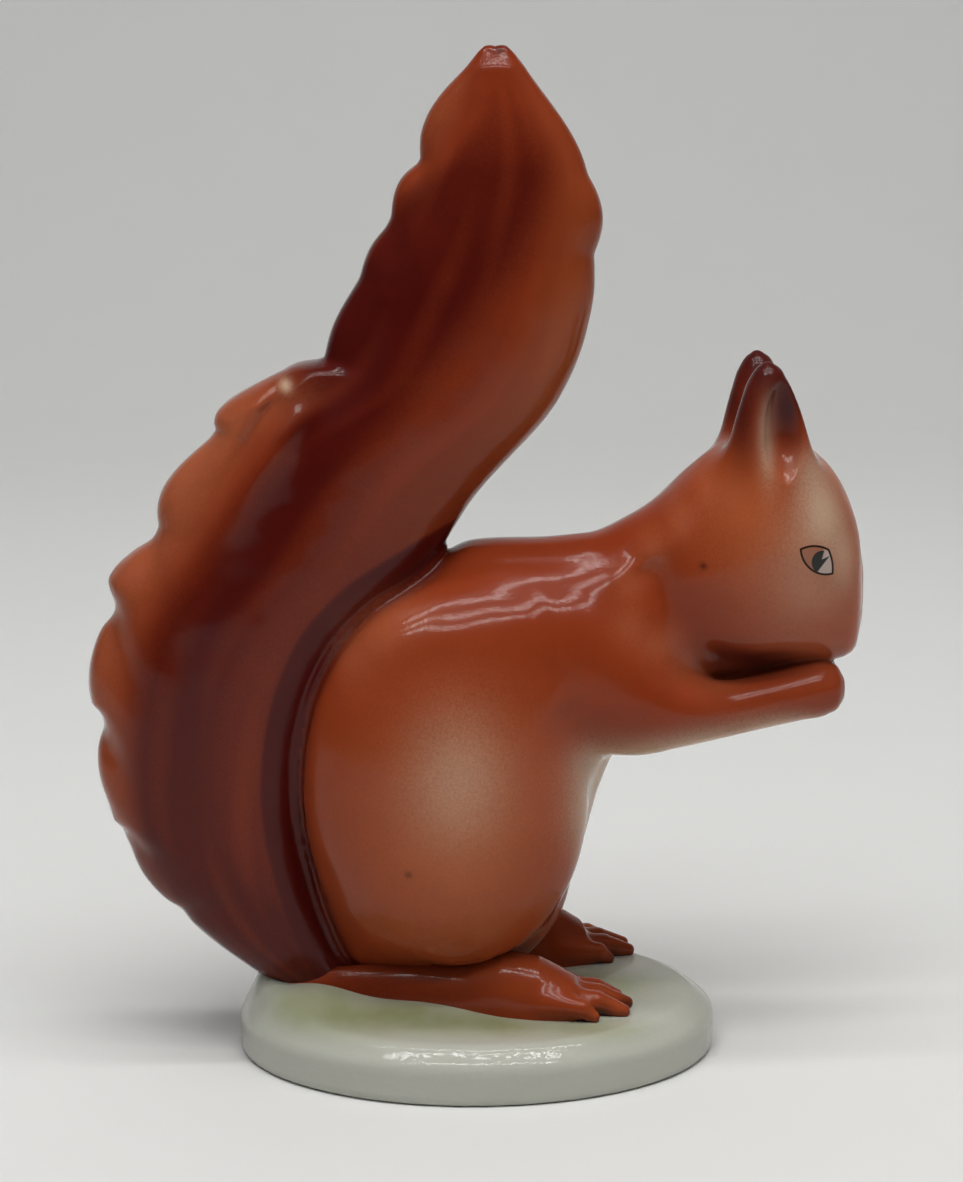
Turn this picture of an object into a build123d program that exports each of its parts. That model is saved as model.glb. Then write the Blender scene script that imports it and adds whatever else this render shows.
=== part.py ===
from build123d import *
from math import sqrt
import os

os.makedirs("parts", exist_ok=True)

# Glazed porcelain squirrel sitting up on an oval plinth, its paws held to its mouth.
# +X is the way it faces, +Y its left side, +Z up. The origin is under the plinth's middle.

# Plinth: a low oval slab on a foot ring, hollow underneath
base_length = 73.6
base_width = 57.2
base_height = 8.6
base_shoulder_radius = 3.4
base_foot_radius = 1.0
foot_ring_width = 4.5
base_recess_depth = 4.4
drain_diameter = 5.0

# Castings: wall of the hollow ones, and the thickness of the slip that joins two of them
casting_wall = 2.6
slip_gap = 0.3

# Torso: each station is where the belly and the back lie in the side view, as x forward and
# z above the plinth, and half the width there. The last one is the neck joint.
torso_stations = [
    ((2.0, 0.0), (-19.0, 0.0), 4.4),
    ((9.5, 8.0), (-24.5, 8.0), 9.5),
    ((14.0, 20.0), (-28.0, 22.0), 12.5),
    ((17.5, 32.0), (-27.6, 41.0), 14.5),
    ((20.5, 37.5), (-20.0, 60.0), 15.0),
    ((23.0, 40.0), (-4.0, 70.2), 14.5),
    ((25.0, 43.0), (12.0, 71.6), 13.0),
    ((26.5, 47.5), (26.5, 77.4), 11.5),
]

# Haunch: an egg on each side of the torso, its middle measured from the plinth's top
haunch_x = -5.2
haunch_height = 33.0
haunch_spread = 6.5
haunch_half_length = 22.0
haunch_half_width = 13.6
haunch_half_height = 31.0

# Head: stations forward of the neck joint, as distance, jaw and crown height above the
# plinth, and half the width. The first station is the neck joint itself.
head_stations = [
    (5.5, 48.8, 82.4, 12.6),
    (11.5, 50.2, 86.2, 13.2),
    (18.5, 51.4, 87.4, 12.8),
    (24.0, 51.9, 85.0, 10.8),
    (28.0, 52.4, 80.8, 8.2),
    (30.6, 53.6, 75.8, 5.6),
    (31.7, 56.6, 69.8, 2.8),
]
head_solid_count = 2  # stations at the nose that are left solid

# Ear: upright petal on the crown, scooped on its outer side
ear_x = 17.5  # forward of the neck joint
ear_spread = 5.4
ear_lean = 1.2
ear_seat_depth = 8.0  # how far its root lies under the crown
ear_height = 19.6
ear_half_length = 7.0
ear_half_width = 3.2
ear_sweep = 1.4
# share of the height, share of the full section
ear_taper = [(0.0, 1.0), (0.35, 0.96), (0.6, 0.72), (0.82, 0.43), (0.95, 0.2), (1.0, 0.06)]
ear_scoop_radius = 9.0
ear_scoop_depth = 1.2

# Arm: from inside the shoulder forward to the paw, each station as distance forward of the
# neck joint, height above the plinth, half height and half width
arm_stations = [
    (-12.0, 51.0, 8.0, 4.5),
    (-3.0, 48.8, 9.2, 5.8),
    (6.0, 46.6, 6.2, 5.2),
    (14.0, 46.6, 4.4, 4.2),
    (22.0, 47.5, 4.0, 3.9),
    (26.6, 48.0, 3.8, 3.6),
    (28.7, 48.2, 2.2, 1.7),
]
arm_root_spread = 8.5
paw_gap = 0.3

# Hind foot: flat on the plinth, splayed outward, with four toes
foot_heel_x = -21.0
foot_length = 38.0
foot_heel_spread = 4.6
foot_toe_spread = 11.0
foot_left_advance = 2.5  # the left foot is set further forward and out
foot_left_splay = 4.0
foot_heel_half_width = 2.6
foot_half_width = 5.2
foot_thickness = 6.0
# share of the length, share of the way from heel width to full width, share of the thickness
foot_taper = [(0.0, 0.0, 0.55), (0.3, 0.5, 0.95), (0.6, 0.9, 1.0), (0.85, 1.0, 0.8), (1.0, 0.8, 0.5)]
toe_count = 4
toe_length = 11.0
toe_diameter = 3.6
toe_fan_angle = 26.0

# Tail: each station is where the outer and the inner edge lie in the side view, as x forward
# and z above the plinth, and half the thickness there
tail_stations = [
    ((-27.6, -1.0), (-14.0, -2.0), 4.4),
    ((-49.6, 19.0), (-18.0, 12.0), 10.0),
    ((-58.0, 36.0), (-19.5, 29.0), 11.2),
    ((-58.2, 52.0), (-18.0, 44.0), 11.4),
    ((-53.4, 68.0), (-13.5, 56.0), 11.0),
    ((-45.0, 83.0), (-6.0, 68.0), 10.6),
    ((-34.5, 95.2), (3.0, 82.0), 10.0),
    ((-21.5, 104.0), (12.2, 93.5), 9.4),
    ((-15.8, 115.8), (17.0, 106.0), 8.6),
    ((-11.6, 125.6), (18.6, 118.6), 7.6),
    ((-7.6, 135.0), (15.0, 130.4), 6.0),
    ((-2.2, 141.6), (9.4, 139.4), 3.8),
    ((1.6, 144.6), (4.6, 144.0), 1.4),
]
tail_solid_root_count = 1  # stations at the root and at the tip that are left solid
tail_solid_tip_count = 3

# Locks: notches evenly spaced along the tail's outer edge, as shares of its length
lock_count = 12
lock_first = 0.12
lock_last = 0.9
lock_notch_depth = 3.0
lock_notch_width = 7.0
lock_notch_lean = 2.0

vent_diameter = 4.0
vent_height = 33.0

pair = ((-1, "right"), (1, "left"))

neck_x = torso_stations[-1][0][0]
neck_jaw = torso_stations[-1][0][1]
neck_crown = torso_stations[-1][1][1]
neck_half_width = torso_stations[-1][2]


def crown_above(ahead):
    # Height of the head's top line, straight between its stations
    line = [(0.0, neck_crown)] + [(station[0], station[2]) for station in head_stations]
    for (near, low), (far, high) in zip(line, line[1:]):
        if near <= ahead <= far:
            break
    return low + (high - low) * (ahead - near) / (far - near)


ear_root_height = crown_above(ear_x) - ear_seat_depth


def oval_knee(half_long, half_cross):
    # Where the tight end arc of a four-arc oval runs into the flat side arc
    if half_long == half_cross:
        return half_long * sqrt(0.5), half_long * sqrt(0.5)
    end_radius = half_cross**2 / half_long
    side_radius = half_long * (half_long + half_cross) / (2 * half_cross)
    end_centre = half_long - end_radius
    reach = end_radius / (side_radius - end_radius)
    return end_centre * (1 + reach), (side_radius - half_cross) * reach


def oval(plane, half_long, half_cross):
    if half_long >= half_cross:
        knee_long, knee_cross = oval_knee(half_long, half_cross)
    else:
        knee_cross, knee_long = oval_knee(half_cross, half_long)
    with BuildSketch(plane) as section:
        with BuildLine():
            ThreePointArc((knee_long, -knee_cross), (half_long, 0), (knee_long, knee_cross))
            ThreePointArc((knee_long, knee_cross), (0, half_cross), (-knee_long, knee_cross))
            ThreePointArc((-knee_long, knee_cross), (-half_long, 0), (-knee_long, -knee_cross))
            ThreePointArc((-knee_long, -knee_cross), (0, -half_cross), (knee_long, -knee_cross))
        make_face()
    return section.sketch.face()


def side_oval(near, far, half_width, grow):
    # An oval whose long axis runs from the near point to the far one in the side view
    low = Vector(near[0], 0, base_height + near[1])
    high = Vector(far[0], 0, base_height + far[1])
    along = (high - low).normalized()
    plane = Plane((low + high) / 2, x_dir=along, z_dir=(along.Z, 0, -along.X))
    return oval(plane, (high - low).length / 2 + grow, half_width + grow)


def upright_oval(middle, half_height, half_width):
    return oval(Plane(middle, x_dir=(0, 0, 1), z_dir=(1, 0, 0)), half_height, half_width)


def torso_form(grow, floor):
    near, far, half_width = torso_stations[0]
    lowest = side_oval((near[0], floor), (far[0], floor), half_width, grow)
    return [lowest] + [side_oval(*station, grow) for station in torso_stations[1:]]


def head_form(grow):
    neck = (0, neck_jaw, neck_crown, neck_half_width)
    sections = []
    for ahead, jaw, crown, half_width in [neck] + head_stations:
        middle = (neck_x + ahead, 0, base_height + (jaw + crown) / 2)
        sections.append(upright_oval(middle, (crown - jaw) / 2 + grow, half_width + grow))
    return sections


def tail_form(stations, grow):
    return [side_oval(*station, grow) for station in stations]


def haunch_egg(side, grow):
    # A unit ball stretched into an egg
    middle = (haunch_x, side * haunch_spread, base_height + haunch_height)
    reach = (haunch_half_length + grow, haunch_half_width + grow, haunch_half_height + grow)
    return Pos(*middle) * scale(Sphere(1, mode=Mode.PRIVATE), by=reach, mode=Mode.PRIVATE)


def arm_form(side):
    start = arm_stations[0][0]
    reach = arm_stations[-1][0] - start
    paw_spread = max(half_width for _, _, _, half_width in arm_stations[-3:]) + paw_gap / 2
    sections = []
    for ahead, height, half_height, half_width in arm_stations:
        share = (ahead - start) / reach
        spread = arm_root_spread + (paw_spread - arm_root_spread) * share
        middle = (neck_x + ahead, side * spread, base_height + height)
        sections.append(upright_oval(middle, half_height, half_width))
    return sections


def ear_form(side):
    sections = []
    for share, fullness in ear_taper:
        lean = side * (ear_spread + ear_lean * share)
        height = base_height + ear_root_height + ear_height * share
        plane = Plane((neck_x + ear_x - ear_sweep * share, lean, height))
        sections.append(oval(plane, ear_half_length * fullness, ear_half_width * fullness))
    return sections


def foot_line(side):
    advance, splay = (foot_left_advance, foot_left_splay) if side > 0 else (0, 0)
    heel = Vector(foot_heel_x + advance, side * foot_heel_spread, base_height)
    ball = heel + Vector(foot_length, side * (foot_toe_spread + splay - foot_heel_spread), 0)
    return heel, ball


def foot_form(side):
    heel, ball = foot_line(side)
    sections = []
    for share, spread, rise in foot_taper:
        half_width = foot_heel_half_width + (foot_half_width - foot_heel_half_width) * spread
        plane = Plane(heel + (ball - heel) * share, x_dir=(0, 0, 1), z_dir=ball - heel)
        sections.append(oval(plane, foot_thickness * rise, half_width))
    return sections


# Solids that only shape their neighbours: each is a casting grown by the slip joint
with BuildPart() as torso_envelope:
    loft(torso_form(slip_gap, -slip_gap))

with BuildPart() as head_envelope:
    loft(head_form(slip_gap))

with BuildPart() as tail_envelope:
    loft(tail_form(tail_stations, slip_gap))

with BuildPart() as below_ground:
    with BuildSketch(Plane.XY.offset(base_height)):
        Rectangle(2 * base_length, 2 * base_width)
    extrude(amount=-2 * base_height)

# Plinth
drain_x = (torso_stations[0][0][0] + torso_stations[0][1][0]) / 2
with BuildPart() as base_plinth:
    with BuildSketch():
        Ellipse(base_length / 2, base_width / 2)
    extrude(amount=base_height)
    fillet(base_plinth.edges().group_by(Axis.Z)[-1], base_shoulder_radius)
    fillet(base_plinth.edges().group_by(Axis.Z)[0], base_foot_radius)
    with BuildSketch():
        Ellipse(base_length / 2 - foot_ring_width, base_width / 2 - foot_ring_width)
    extrude(amount=base_recess_depth, mode=Mode.SUBTRACT)
    with Locations((drain_x, 0, base_height)):
        Hole(drain_diameter / 2)
base_plinth.part.label = "base_plinth"
export_step(base_plinth.part, "parts/base_plinth.step")

# Torso: hollow, open at the neck, with a drain in its floor and a vent towards the tail
with BuildPart() as torso:
    loft(torso_form(0, 0))
    loft(torso_form(-casting_wall, casting_wall), mode=Mode.SUBTRACT)
    with BuildSketch(Plane.XY.offset(base_height)):
        with Locations((drain_x, 0)):
            Circle(drain_diameter / 2)
    extrude(amount=2 * casting_wall, mode=Mode.SUBTRACT)
    vent_start = (haunch_x, 0, base_height + vent_height)
    with BuildSketch(Plane(vent_start, x_dir=(0, 1, 0), z_dir=(-1, 0, 0))):
        Circle(vent_diameter / 2)
    extrude(amount=base_length, mode=Mode.SUBTRACT)
torso.part.label = "torso"
export_step(torso.part, "parts/torso.step")

# Haunches: one egg on each side, shaped to the torso
for side, name in pair:
    with BuildPart() as haunch:
        add(haunch_egg(side, 0))
        add(torso_envelope.part, mode=Mode.SUBTRACT)
        outer = Keep.TOP if side < 0 else Keep.BOTTOM
        split(bisect_by=Plane.XZ.offset(-side * slip_gap / 2), keep=outer)
    haunch.part.label = f"haunch_{name}"
    export_step(haunch.part, f"parts/haunch_{name}.step")

# Head: hollow and open at the neck
with BuildPart() as head:
    loft(head_form(0))
    loft(head_form(-casting_wall)[:-head_solid_count], mode=Mode.SUBTRACT)
head.part.label = "head"
export_step(head.part, "parts/head.step")

# Ears: petals standing on the crown, scooped on the outer side
for side, name in pair:
    with BuildPart() as ear:
        loft(ear_form(side))
        scoop_out = ear_spread + ear_half_width - ear_scoop_depth + ear_scoop_radius
        scoop_height = base_height + ear_root_height + ear_height / 2
        with Locations((neck_x + ear_x, side * scoop_out, scoop_height)):
            Sphere(ear_scoop_radius, mode=Mode.SUBTRACT)
        add(head_envelope.part, mode=Mode.SUBTRACT)
    ear.part.label = f"ear_{name}"
    export_step(ear.part, f"parts/ear_{name}.step")

# Arms: from the shoulder to the paw, shaped to the torso, the haunch and the jaw
for side, name in pair:
    with BuildPart() as arm:
        loft(arm_form(side))
        add(torso_envelope.part, mode=Mode.SUBTRACT)
        add(haunch_egg(side, slip_gap), mode=Mode.SUBTRACT)
        add(head_envelope.part, mode=Mode.SUBTRACT)
    arm.part.label = f"arm_{name}"
    export_step(arm.part, f"parts/arm_{name}.step")

# Hind feet: flat on the plinth under the haunches
for side, name in pair:
    heel, ball = foot_line(side)
    splay = (ball - heel).get_signed_angle(Vector(1, 0, 0), Vector(0, 0, -1))
    with BuildPart() as foot:
        loft(foot_form(side))
        for toe in range(toe_count):
            across = toe / (toe_count - 1) - 0.5
            row = Vector(0, 1, 0).rotate(Axis.Z, splay)
            root = ball + row * (across * 2 * (foot_half_width - toe_diameter / 2))
            ahead = Vector(1, 0, 0).rotate(Axis.Z, splay + toe_fan_angle * across)
            half_length, half_round = toe_length / 2, toe_diameter / 2
            with BuildSketch(Plane(root, x_dir=ahead, z_dir=(0, 0, 1))):
                with BuildLine():
                    EllipticalCenterArc((0, 0), half_length, half_round, start_angle=0, arc_size=180)
                    Line((-half_length, 0), (half_length, 0))
                make_face()
            revolve(axis=Axis(root, ahead))
        add(below_ground.part, mode=Mode.SUBTRACT)
        add(torso_envelope.part, mode=Mode.SUBTRACT)
        add(haunch_egg(side, slip_gap), mode=Mode.SUBTRACT)
        add(tail_envelope.part, mode=Mode.SUBTRACT)
    foot.part.label = f"hind_foot_{name}"
    export_step(foot.part, f"parts/hind_foot_{name}.step")

# Tail: a hollow plume with locks along its outer edge, open where it is luted to the back
with BuildLine(Plane.XZ) as tail_edge:
    Spline(*[(near[0], base_height + near[1]) for near, _, _ in tail_stations])

with BuildPart() as tail:
    loft(tail_form(tail_stations, 0))
    hollow_part = tail_stations[tail_solid_root_count:-tail_solid_tip_count]
    loft(tail_form(hollow_part, -casting_wall), mode=Mode.SUBTRACT)
    with BuildSketch(Plane.XZ):
        for lock in range(lock_count):
            share = lock_first + (lock_last - lock_first) * lock / (lock_count - 1)
            spot = Vector((tail_edge.line @ share).X, (tail_edge.line @ share).Z)
            upward = Vector((tail_edge.line % share).X, (tail_edge.line % share).Z)
            inward = Vector(upward.Y, -upward.X)
            mouth = spot - inward * lock_notch_depth
            with BuildLine():
                Polyline(
                    mouth + upward * lock_notch_width / 2,
                    mouth - upward * lock_notch_width / 2,
                    spot + inward * lock_notch_depth - upward * lock_notch_lean,
                    close=True,
                )
            make_face()
    extrude(amount=base_width / 2, both=True, mode=Mode.SUBTRACT)
    add(below_ground.part, mode=Mode.SUBTRACT)
    add(torso_envelope.part, mode=Mode.SUBTRACT)
    for side, _ in pair:
        add(haunch_egg(side, slip_gap), mode=Mode.SUBTRACT)
tail.part.label = "tail"
export_step(tail.part, "parts/tail.step")
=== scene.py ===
import bpy
import itertools
import math
import numpy as np
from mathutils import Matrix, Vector


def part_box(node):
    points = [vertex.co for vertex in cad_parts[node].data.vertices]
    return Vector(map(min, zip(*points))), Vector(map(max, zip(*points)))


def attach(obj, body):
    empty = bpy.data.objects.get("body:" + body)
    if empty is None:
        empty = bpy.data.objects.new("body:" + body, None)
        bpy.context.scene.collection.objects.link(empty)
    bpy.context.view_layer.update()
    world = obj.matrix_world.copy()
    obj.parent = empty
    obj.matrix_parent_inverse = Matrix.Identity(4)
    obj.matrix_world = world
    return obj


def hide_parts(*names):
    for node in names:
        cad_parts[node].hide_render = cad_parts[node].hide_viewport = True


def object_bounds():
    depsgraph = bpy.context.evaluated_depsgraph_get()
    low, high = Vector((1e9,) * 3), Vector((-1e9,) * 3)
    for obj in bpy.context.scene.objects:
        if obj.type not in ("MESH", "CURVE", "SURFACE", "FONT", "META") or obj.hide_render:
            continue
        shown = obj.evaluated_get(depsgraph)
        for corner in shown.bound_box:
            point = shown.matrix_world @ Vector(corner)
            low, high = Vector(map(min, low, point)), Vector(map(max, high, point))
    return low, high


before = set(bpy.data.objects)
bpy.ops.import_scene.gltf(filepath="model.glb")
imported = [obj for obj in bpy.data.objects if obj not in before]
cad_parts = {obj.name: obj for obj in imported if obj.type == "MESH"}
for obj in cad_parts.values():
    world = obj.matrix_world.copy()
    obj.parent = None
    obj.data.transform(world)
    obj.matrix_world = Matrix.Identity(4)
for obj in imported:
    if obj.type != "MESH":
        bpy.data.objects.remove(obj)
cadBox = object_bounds()

mm = 0.001
plinthLow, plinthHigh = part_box("base_plinth")
ground = plinthHigh.z / mm  # the plinth's top, which the animal sits on
print("frame loaded, plinth top at", round(ground, 2), "mm")

# All shapes below are in millimetres. In the side view x runs forward and z up, and a station
# is a line across the form: one end x, z, the other end x, z, half width, sideways place.

torso = {
    "stations": [
        (2, 8.6, -19, 8.6, 4.4, 0),
        (11, 17.5, -24, 16.6, 8, 0),
        (15.2, 28.6, -27.4, 30.6, 10.6, 0),
        (18.6, 40.8, -27, 49.6, 12.6, 0),
        (21, 46.8, -19.6, 68.4, 14.4, 0),
        (22.6, 49, -4, 78.8, 14.2, 0),
        (25, 52, 12, 80.1, 12.4, 0),
        (27.5, 55.4, 23.5, 81.4, 10.4, 0),
        (31.5, 60, 33.5, 83.5, 8, 0),
        (36, 66, 38, 80, 4, 0),
    ],
}
haunch = {
    "middle": (-5.0, -7.4, 43.6),
    "radii": (21.4, 13.4, 28.6),
    "leanBack": 7.0,
    "blend": (7.0, 2.2),  # wide towards the back, narrow in the creases
    # each crease: x where it starts, over what length, z under which it lies, over what height
    "frontCrease": (4, 10, 56, 14),
    "lowCrease": (-16, 10, 26, 8),
}
head = {
    "stations": [
        (16, 60, 16, 72, 4.5, 0),
        (21, 57, 21, 79, 7.6, 0),
        (26.5, 56.4, 26.5, 84.4, 9.8, 0),
        (32, 57.6, 32, 90.6, 11.8, 0),
        (38, 58.8, 38, 94.8, 13.2, 0),
        (45, 60, 45, 95.6, 12.6, 0),
        (50.5, 60.5, 50.5, 93.3, 10.7, 0),
        (54.5, 60.9, 54.5, 89, 8.2, 0),
        (56.6, 61.6, 56.6, 84.6, 6.2, 0),
        (57.7, 62.8, 57.7, 81, 4.4, 0),
        (58.2, 64.6, 58.2, 78, 2.8, 0),
        (58.4, 67.4, 58.4, 75, 1.2, 0),
    ],
    "neckBlend": 8.0,
    "chinBlend": 0.8,
    "chinCrease": (27, 9, 70, 6),
}
ear = {
    "stations": [
        (36.6, 86, 51.4, 86, 4.6, 4.8),
        (36.6, 92, 50.3, 92, 4.4, 5.4),
        (37.7, 97, 48.8, 97, 4, 5.8),
        (38.9, 101.6, 47.2, 101.6, 3.4, 6.1),
        (40.1, 105, 45.5, 105, 2.6, 6.3),
        (41.4, 106.8, 44.2, 106.8, 1.4, 6.4),
        (42.3, 107.4, 43.1, 107.4, 0.4, 6.4),
    ],
    "blend": 3.0,
    "cup": {"middle": (45.3, -10.8, 97.6), "radii": (3.5, 4.6, 8.6), "blend": 0.9},
}
arm = {
    "stations": [
        (13.5, 52, 13.5, 70, 4.6, 8.8),
        (22.5, 48.4, 22.5, 66.8, 6.4, 8.8),
        (31, 49.5, 31, 60.8, 6, 7.9),
        (38, 50.7, 38, 59.2, 5, 6.7),
        (44, 51.7, 44, 60.4, 4.6, 5.6),
        (49, 52.5, 49, 61.4, 4.4, 4.6),
        (53.2, 53.2, 53.2, 61.2, 3.9, 3.8),
        (55, 54.4, 55, 60, 2.8, 3.6),
        (55.6, 55.6, 55.6, 58.6, 1.4, 3.6),
    ],
    # clay left between the two paws and under the chin
    "between": [
        (26, 52, 26, 66, 4.6, 0),
        (34, 51, 34, 65, 4.6, 0),
        (42, 52.6, 42, 64, 4, 0),
        (49, 54, 49, 63.5, 3, 0),
        (53.6, 56, 53.6, 62, 1.8, 0),
    ],
    "blend": 5.0,
}
body = {
    # relief on the joined body: points x, z, then half width and height, a valley below zero
    "strands": [
        ([(33.5, 65.4), (37, 63.2), (42, 61.8), (48, 61.2), (53.5, 60.8)], 1.7, -1.2),
        ([(22, 80), (27, 73), (31.5, 68), (36, 63.6)], 3.8, -1.4),
        ([(12, 58), (15, 52.5), (18, 47)], 3.4, -0.5),
        ([(19, 74), (26, 79.5), (31, 85), (37, 92.5)], 2, 0.6),
        ([(-18, 74.5), (-8, 77), (6, 77.6), (18, 78), (26, 80)], 3.4, -0.8),
        ([(-20, 67), (-8, 69), (6, 69), (20, 68)], 4, 0.6),
    ],
    "plain": (2.5, 4),  # no relief this near the middle, then over what width it grows
}
tail = {
    # outer edge x, z at each notch, inner edge x, z, half thickness, sideways place,
    # then how far the lock below this notch swells, how far the inner edge does, and how late
    "stations": [
        (-1.5, 150.2, 7, 150.2, 2.8, 0, 1.9, 0.4, 0.9),
        (-9, 136.4, 16.4, 134.4, 6.2, 0, 1, 1.4, 0.8),
        (-12.9, 128.4, 17.4, 122.8, 7.4, 0, 0.6, 0.2, 1.2),
        (-17.4, 119.4, 16.6, 112.5, 8.4, 0, 1, 0, 1.2),
        (-23.4, 106.9, 12.4, 101.5, 9.2, 0, 4.2, 0, 0.56),
        (-39.2, 97, -0.6, 86.2, 10.2, 0, 1.9, 0, 1.6),
        (-48.2, 82.2, -9.5, 72, 10.8, 0, 1.8, 0, 1.6),
        (-55.6, 70.2, -19, 61, 11.2, 0, 1.3, 0, 1.4),
        (-57.8, 52.2, -24, 46, 11.2, 0, 0.4, 0, 1.2),
        (-56.4, 39.6, -25, 33, 10.6, 0, 0.2, 0, 1.2),
        (-53.6, 33, -24, 25.5, 10, 0, 1, 0, 1.2),
        (-46, 22.6, -21, 16.5, 8.4, 0, 0.2, 0, 1),
        (-30.5, 9.6, -14.5, 7.8, 5, 0, 0, 0, 1),
        (-27, 7, -14, 6.4, 4.4, 0, 0, 0, 1),
    ],
    "squareness": 2.3,
    "tuft": 4,
    "tip": (3.7, 0.8, 2.0),  # how far the end reaches past its last line, its taper and rounding
    # relief that follows the fur: points x, z, then half width and height, a valley below zero
    "strands": [
        ([(-27.6, 106), (-32.1, 98.1), (-36.6, 91.4), (-40.8, 85)], 1.5, -1.3),
        ([(-23.5, 103), (-28.5, 97), (-34, 89), (-40.5, 77.2)], 2.2, 0.8),
        ([(-13, 117), (-24, 97), (-31.6, 81), (-38.5, 62)], 4.2, -1.2),
        ([(-38, 99), (-42.6, 88), (-45, 78)], 2.4, -0.6),
        ([(-49, 84), (-48.2, 73), (-47, 62)], 2.6, -0.7),
        ([(-56, 74), (-53.8, 65), (-51.4, 55)], 2.2, -1.1),
        ([(-58.2, 55.5), (-55.2, 49), (-52, 41)], 2, -1.1),
        ([(-55.4, 37), (-51, 33.4), (-46.5, 30.5)], 1.8, -0.9),
        ([(-48, 22), (-43, 24), (-37, 26.4)], 1.8, -0.7),
        ([(-9.4, 140), (-6.4, 130), (-5.4, 119)], 2.4, -0.5),
        ([(-13.8, 130), (-11.4, 120), (-11.8, 109)], 2.4, -0.4),
        ([(10.5, 141), (8, 124), (2, 106)], 4, -0.4),
    ],
    "bead": 0.75,  # slip line squeezed out of the joint with the back
    "groove": (0.55, 1.3),  # depth and half width of the groove beside it
    "grooveAt": 1.4,
}
sculpt = {"step": 0.5, "margin": 2.0, "sunk": 0.5, "reach": 25.0, "wall": 0.8}


def smoothRun(rows, count):
    # a smooth curve through the rows, evenly divided along their first point
    rows = np.asarray(rows, float)
    gaps = np.linalg.norm(np.diff((rows[:, :2] + rows[:, 2:4]) / 2, axis=0), axis=1)
    at = np.concatenate(([0.0], np.cumsum(gaps)))
    slope = np.gradient(rows, at, axis=0)
    wanted = np.linspace(0.0, at[-1], count)
    low = np.clip(np.searchsorted(at, wanted, side="right") - 1, 0, len(at) - 2)
    span = (at[low + 1] - at[low])[:, None]
    f = (wanted - at[low])[:, None] / span
    start, end = rows[low], rows[low + 1]
    run = (2 * f**3 - 3 * f**2 + 1) * start + (f**3 - 2 * f**2 + f) * span * slope[low]
    run += (3 * f**2 - 2 * f**3) * end + (f**3 - f**2) * span * slope[low + 1]
    return run, low, f[:, 0]


def fanMap(run, gridX, gridZ):
    # where each point of the side view lies among the lines: line number, place along it, overshoot
    near, far = run[:, 0:2], run[:, 2:4]
    middle, half = (near + far) / 2, np.linalg.norm(far - near, axis=1) / 2
    along = (far - near) / (2 * half)[:, None]
    across = np.stack((-along[:, 1], along[:, 0]), 1)
    onward = np.gradient(middle, axis=0)
    across *= np.sign(np.sum(across * onward, 1))[:, None]
    line = np.zeros(gridX.shape)
    best = np.full(gridX.shape, 1e9)
    place = np.zeros(gridX.shape)
    past = np.zeros(gridX.shape)

    def reach(i):
        return (gridX - middle[i, 0]) * across[i, 0] + (gridZ - middle[i, 1]) * across[i, 1]

    def offset(i):
        return (gridX - middle[i, 0]) * along[i, 0] + (gridZ - middle[i, 1]) * along[i, 1]

    lower = reach(0)
    for i in range(len(run) - 1):
        upper = reach(i + 1)
        f = lower / np.where(np.abs(lower - upper) < 1e-9, 1e-9, lower - upper)
        u = offset(i) * (1 - f) + offset(i + 1) * f
        size = half[i] * (1 - f) + half[i + 1] * f
        rank = np.abs(u) / np.maximum(size, 0.5)
        found = (lower >= 0) & (upper < 0) & (rank < best)
        line[found], place[found], best[found] = (i + f)[found], u[found], rank[found]
        lower = upper
    for i, sign in ((0, -1.0), (len(run) - 1, 1.0)):
        over = sign * reach(i)
        near = np.abs(offset(i)) / max(half[i], 0.5)
        beyond = (over > 0) & ((best > 1e8) | (near + over / max(half[i], 3.0) < best))
        line[beyond], place[beyond], past[beyond] = i, offset(i)[beyond], over[beyond]
        best[beyond] = 0.0
    return line, place, past, half


def along(values, line):
    return np.interp(line, np.arange(len(values)), values)


def ovalDistance(u, v, a, b, power=2.0):
    # near enough the distance to an oval of half sizes a and b
    pu, pv = np.abs(u / a), np.abs(v / b)
    if power == 2.0:
        r = np.sqrt(pu * pu + pv * pv)
        steep = np.sqrt((pu / a) ** 2 + (pv / b) ** 2) / np.maximum(r, 1e-4)
    else:
        r = (pu**power + pv**power) ** (1 / power)
        steep = np.sqrt((pu ** (power - 1) / a) ** 2 + (pv ** (power - 1) / b) ** 2)
        steep = steep / np.maximum(r, 1e-4) ** (power - 1)
    return np.maximum((r - 1) / np.maximum(steep, 1e-4), -np.minimum(a, b))


def smoothMin(a, b, k):
    h = np.clip(0.5 + 0.5 * (b - a) / k, 0, 1)
    return b + (a - b) * h - k * h * (1 - h)


def smoothMax(a, b, k):
    return -smoothMin(-a, -b, k)


def bell(distance, width):
    return np.exp(-((distance / width) ** 2))


class Block:
    # a block of space, divided into small steps for sculpting
    def __init__(self, low, high, step):
        self.step, self.origin = step, np.array(low, float)
        axes = [np.arange(a, b, step) for a, b in zip(low, high)]
        self.flatX, self.flatZ = np.meshgrid(axes[0], axes[2], indexing="ij")
        self.x, self.y, self.z = (a.astype(np.float32) for a in np.ix_(*axes))


def fanForm(block, stations, count=120, power=2.0):
    run, _, _ = smoothRun(stations, count)
    line, place, past, half = fanMap(run, block.flatX, block.flatZ)
    u, a, b, side, over = (
        m.astype(np.float32)[:, None, :]
        for m in (place, along(half, line), along(run[:, 4], line), along(run[:, 5], line), past)
    )
    shell = ovalDistance(u, block.y + side, a, b, power)
    return np.where(over > 0, np.maximum(shell, over), shell)


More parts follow.
